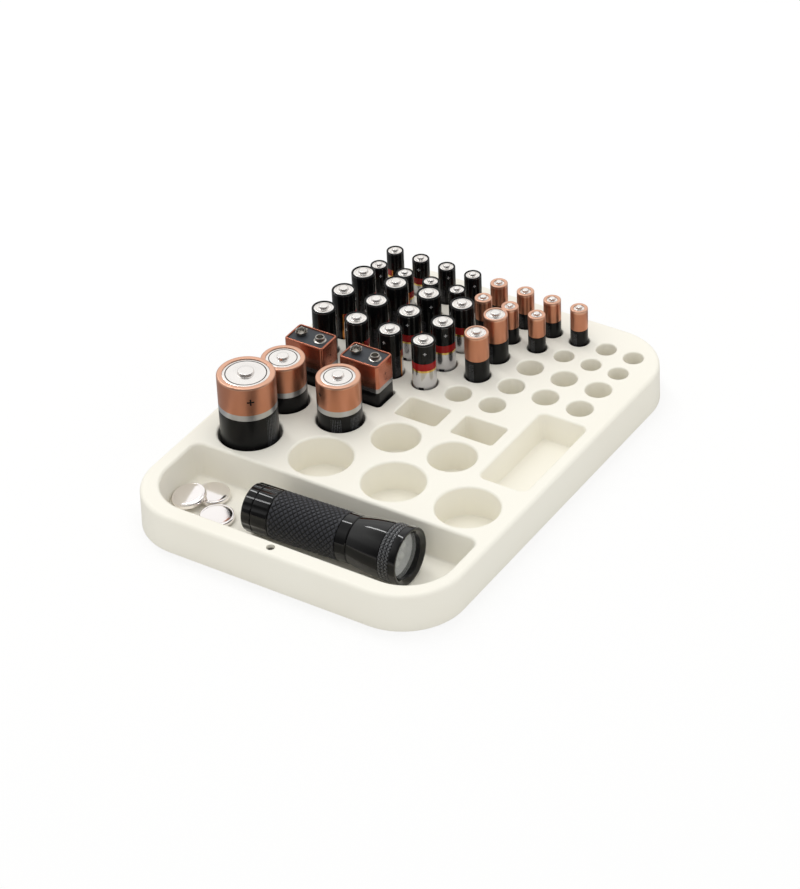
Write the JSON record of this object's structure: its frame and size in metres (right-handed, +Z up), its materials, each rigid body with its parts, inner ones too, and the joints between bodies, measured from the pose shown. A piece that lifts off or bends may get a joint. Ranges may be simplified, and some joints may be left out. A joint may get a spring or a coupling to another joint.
{
  "type": "battery storage tray",
  "caption": "Shallow moulded organiser tray with stepped rows of round and rectangular pockets for household cells, a tester recess and a front trough holding coin cells and a torch.",
  "frame": {"origin": "centre of the tray's footprint, on the surface it stands on", "axes": "+X along the short side, +Y along the long side away from the trough, +Z up"},
  "size_m": [0.204, 0.283, 0.0656],
  "materials": {
    "tray_plastic": "fine satin moulding grain",
    "label_black": "glossy black printed metallised label",
    "label_copper": "copper metallised label over a black lower band",
    "contact_steel": "nickel-plated",
    "coin_steel": "polished",
    "plate_plastic": "fine matt",
    "torch_metal": "black anodised, polished",
    "torch_rubber": "knurled",
    "torch_glass": "clear",
    "torch_plated": "vacuum plated",
    "led_resin": "clear resin",
    "torch_plastic": "moulded"
  },
  "bodies": {
    "tray": {"tray": "tray_plastic"},
    "d_cell_1": {"d_cell_1_body": "label_copper", "d_cell_1_contact": "contact_steel"},
    "c_cell_1": {"c_cell_1_body": "label_copper", "c_cell_1_contact": "contact_steel"},
    "c_cell_2": {"c_cell_2_body": "label_copper", "c_cell_2_contact": "contact_steel"},
    "nine_volt_1": {"nine_volt_1_case": "label_copper", "nine_volt_1_plate": "plate_plastic", "nine_volt_1_terminals": "contact_steel"},
    "nine_volt_2": {"nine_volt_2_case": "label_copper", "nine_volt_2_plate": "plate_plastic", "nine_volt_2_terminals": "contact_steel"},
    "aa_black_row1_col1": {"aa_black_row1_col1": "label_black"},
    "aa_black_row1_col2": {"aa_black_row1_col2": "label_black"},
    "aa_black_row1_col3": {"aa_black_row1_col3": "label_black"},
    "aa_black_row1_col4": {"aa_black_row1_col4": "label_black"},
    "aa_black_row2_col1": {"aa_black_row2_col1": "label_black"},
    "aa_black_row2_col2": {"aa_black_row2_col2": "label_black"},
    "aa_black_row2_col3": {"aa_black_row2_col3": "label_black"},
    "aa_black_row2_col4": {"aa_black_row2_col4": "label_black"},
    "aa_black_row3_col1": {"aa_black_row3_col1": "label_black"},
    "aa_black_row3_col2": {"aa_black_row3_col2": "label_black"},
    "aa_black_row3_col3": {"aa_black_row3_col3": "label_black"},
    "aa_black_row3_col4": {"aa_black_row3_col4": "label_black"},
    "aa_copper_row1_col5": {"aa_copper_row1_col5": "label_copper"},
    "aa_copper_row2_col5": {"aa_copper_row2_col5": "label_copper"},
    "aaa_black_row1_col1": {"aaa_black_row1_col1": "label_black"},
    "aaa_black_row1_col2": {"aaa_black_row1_col2": "label_black"},
    "aaa_black_row1_col3": {"aaa_black_row1_col3": "label_black"},
    "aaa_black_row1_col4": {"aaa_black_row1_col4": "label_black"},
    "aaa_black_row2_col1": {"aaa_black_row2_col1": "label_black"},
    "aaa_black_row2_col2": {"aaa_black_row2_col2": "label_black"},
    "aaa_black_row2_col3": {"aaa_black_row2_col3": "label_black"},
    "aaa_black_row2_col4": {"aaa_black_row2_col4": "label_black"},
    "aaa_copper_row1_col5": {"aaa_copper_row1_col5": "label_copper"},
    "aaa_copper_row1_col6": {"aaa_copper_row1_col6": "label_copper"},
    "aaa_copper_row1_col7": {"aaa_copper_row1_col7": "label_copper"},
    "aaa_copper_row1_col8": {"aaa_copper_row1_col8": "label_copper"},
    "aaa_copper_row2_col5": {"aaa_copper_row2_col5": "label_copper"},
    "aaa_copper_row2_col6": {"aaa_copper_row2_col6": "label_copper"},
    "aaa_copper_row2_col7": {"aaa_copper_row2_col7": "label_copper"},
    "coin_front": {"coin_front": "coin_steel"},
    "coin_back": {"coin_back": "coin_steel"},
    "coin_leaning": {"coin_leaning": "coin_steel"},
    "torch": {"torch_barrel": "torch_metal", "torch_grip": "torch_rubber", "torch_head": "torch_metal", "torch_bezel": "torch_metal", "torch_lens": "torch_glass", "torch_reflector": "torch_plated", "torch_leds": "led_resin", "torch_led_module": "torch_plastic", "torch_battery_carrier": "torch_plastic", "torch_carrier_cells": "label_black"},
    "torch_cap": {"torch_tail_cap": "torch_metal", "torch_switch": "torch_plastic", "torch_spring": "contact_steel"},
    "torch_button": {"torch_tail_button": "torch_rubber"}
  },
  "joints": [
    {"name": "d_cell_1_lift", "type": "slide", "parent": "tray", "child": "d_cell_1", "axis": [0, 0, 1], "range_m": [0, 0.075]},
    {"name": "c_cell_1_lift", "type": "slide", "parent": "tray", "child": "c_cell_1", "axis": [0, 0, 1], "range_m": [0, 0.075]},
    {"name": "c_cell_2_lift", "type": "slide", "parent": "tray", "child": "c_cell_2", "axis": [0, 0, 1], "range_m": [0, 0.075]},
    {"name": "nine_volt_1_lift", "type": "slide", "parent": "tray", "child": "nine_volt_1", "axis": [0, 0, 1], "range_m": [0, 0.075]},
    {"name": "nine_volt_2_lift", "type": "slide", "parent": "tray", "child": "nine_volt_2", "axis": [0, 0, 1], "range_m": [0, 0.075]},
    {"name": "aa_black_row1_col1_lift", "type": "slide", "parent": "tray", "child": "aa_black_row1_col1", "axis": [0, 0, 1], "range_m": [0, 0.075]},
    {"name": "aa_black_row1_col2_lift", "type": "slide", "parent": "tray", "child": "aa_black_row1_col2", "axis": [0, 0, 1], "range_m": [0, 0.075]},
    {"name": "aa_black_row1_col3_lift", "type": "slide", "parent": "tray", "child": "aa_black_row1_col3", "axis": [0, 0, 1], "range_m": [0, 0.075]},
    {"name": "aa_black_row1_col4_lift", "type": "slide", "parent": "tray", "child": "aa_black_row1_col4", "axis": [0, 0, 1], "range_m": [0, 0.075]},
    {"name": "aa_black_row2_col1_lift", "type": "slide", "parent": "tray", "child": "aa_black_row2_col1", "axis": [0, 0, 1], "range_m": [0, 0.075]},
    {"name": "aa_black_row2_col2_lift", "type": "slide", "parent": "tray", "child": "aa_black_row2_col2", "axis": [0, 0, 1], "range_m": [0, 0.075]},
    {"name": "aa_black_row2_col3_lift", "type": "slide", "parent": "tray", "child": "aa_black_row2_col3", "axis": [0, 0, 1], "range_m": [0, 0.075]},
    {"name": "aa_black_row2_col4_lift", "type": "slide", "parent": "tray", "child": "aa_black_row2_col4", "axis": [0, 0, 1], "range_m": [0, 0.075]},
    {"name": "aa_black_row3_col1_lift", "type": "slide", "parent": "tray", "child": "aa_black_row3_col1", "axis": [0, 0, 1], "range_m": [0, 0.075]},
    {"name": "aa_black_row3_col2_lift", "type": "slide", "parent": "tray", "child": "aa_black_row3_col2", "axis": [0, 0, 1], "range_m": [0, 0.075]},
    {"name": "aa_black_row3_col3_lift", "type": "slide", "parent": "tray", "child": "aa_black_row3_col3", "axis": [0, 0, 1], "range_m": [0, 0.075]},
    {"name": "aa_black_row3_col4_lift", "type": "slide", "parent": "tray", "child": "aa_black_row3_col4", "axis": [0, 0, 1], "range_m": [0, 0.075]},
    {"name": "aa_copper_row1_col5_lift", "type": "slide", "parent": "tray", "child": "aa_copper_row1_col5", "axis": [0, 0, 1], "range_m": [0, 0.075]},
    {"name": "aa_copper_row2_col5_lift", "type": "slide", "parent": "tray", "child": "aa_copper_row2_col5", "axis": [0, 0, 1], "range_m": [0, 0.075]},
    {"name": "aaa_black_row1_col1_lift", "type": "slide", "parent": "tray", "child": "aaa_black_row1_col1", "axis": [0, 0, 1], "range_m": [0, 0.075]},
    {"name": "aaa_black_row1_col2_lift", "type": "slide", "parent": "tray", "child": "aaa_black_row1_col2", "axis": [0, 0, 1], "range_m": [0, 0.075]},
    {"name": "aaa_black_row1_col3_lift", "type": "slide", "parent": "tray", "child": "aaa_black_row1_col3", "axis": [0, 0, 1], "range_m": [0, 0.075]},
    {"name": "aaa_black_row1_col4_lift", "type": "slide", "parent": "tray", "child": "aaa_black_row1_col4", "axis": [0, 0, 1], "range_m": [0, 0.075]},
    {"name": "aaa_black_row2_col1_lift", "type": "slide", "parent": "tray", "child": "aaa_black_row2_col1", "axis": [0, 0, 1], "range_m": [0, 0.075]},
    {"name": "aaa_black_row2_col2_lift", "type": "slide", "parent": "tray", "child": "aaa_black_row2_col2", "axis": [0, 0, 1], "range_m": [0, 0.075]},
    {"name": "aaa_black_row2_col3_lift", "type": "slide", "parent": "tray", "child": "aaa_black_row2_col3", "axis": [0, 0, 1], "range_m": [0, 0.075]},
    {"name": "aaa_black_row2_col4_lift", "type": "slide", "parent": "tray", "child": "aaa_black_row2_col4", "axis": [0, 0, 1], "range_m": [0, 0.075]},
    {"name": "aaa_copper_row1_col5_lift", "type": "slide", "parent": "tray", "child": "aaa_copper_row1_col5", "axis": [0, 0, 1], "range_m": [0, 0.075]},
    {"name": "aaa_copper_row1_col6_lift", "type": "slide", "parent": "tray", "child": "aaa_copper_row1_col6", "axis": [0, 0, 1], "range_m": [0, 0.075]},
    {"name": "aaa_copper_row1_col7_lift", "type": "slide", "parent": "tray", "child": "aaa_copper_row1_col7", "axis": [0, 0, 1], "range_m": [0, 0.075]},
    {"name": "aaa_copper_row1_col8_lift", "type": "slide", "parent": "tray", "child": "aaa_copper_row1_col8", "axis": [0, 0, 1], "range_m": [0, 0.075]},
    {"name": "aaa_copper_row2_col5_lift", "type": "slide", "parent": "tray", "child": "aaa_copper_row2_col5", "axis": [0, 0, 1], "range_m": [0, 0.075]},
    {"name": "aaa_copper_row2_col6_lift", "type": "slide", "parent": "tray", "child": "aaa_copper_row2_col6", "axis": [0, 0, 1], "range_m": [0, 0.075]},
    {"name": "aaa_copper_row2_col7_lift", "type": "slide", "parent": "tray", "child": "aaa_copper_row2_col7", "axis": [0, 0, 1], "range_m": [0, 0.075]},
    {"name": "coin_front_lift", "type": "slide", "parent": "tray", "child": "coin_front", "axis": [0, 0, 1], "range_m": [0, 0.075]},
    {"name": "coin_back_lift", "type": "slide", "parent": "tray", "child": "coin_back", "axis": [0, 0, 1], "range_m": [0, 0.075]},
    {"name": "coin_leaning_lift", "type": "slide", "parent": "coin_back", "child": "coin_leaning", "axis": [0, 0, 1], "range_m": [0, 0.075]},
    {"name": "torch_lift", "type": "slide", "parent": "tray", "child": "torch", "axis": [0, 0, 1], "range_m": [0, 0.075]},
    {"name": "torch_cap_unscrew", "type": "hinge", "parent": "torch", "child": "torch_cap", "pos_m": [-0.03456, -0.10226, 0.0174], "axis": [0.9996, 0.0105, 0.0266], "range_deg": [0, 1080]},
    {"name": "torch_button_press", "type": "slide", "parent": "torch_cap", "child": "torch_button", "axis": [0.9996, 0.0105, 0.0266], "range_m": [0, 0.0012], "stiffness_N_per_m": 600}
  ]
}
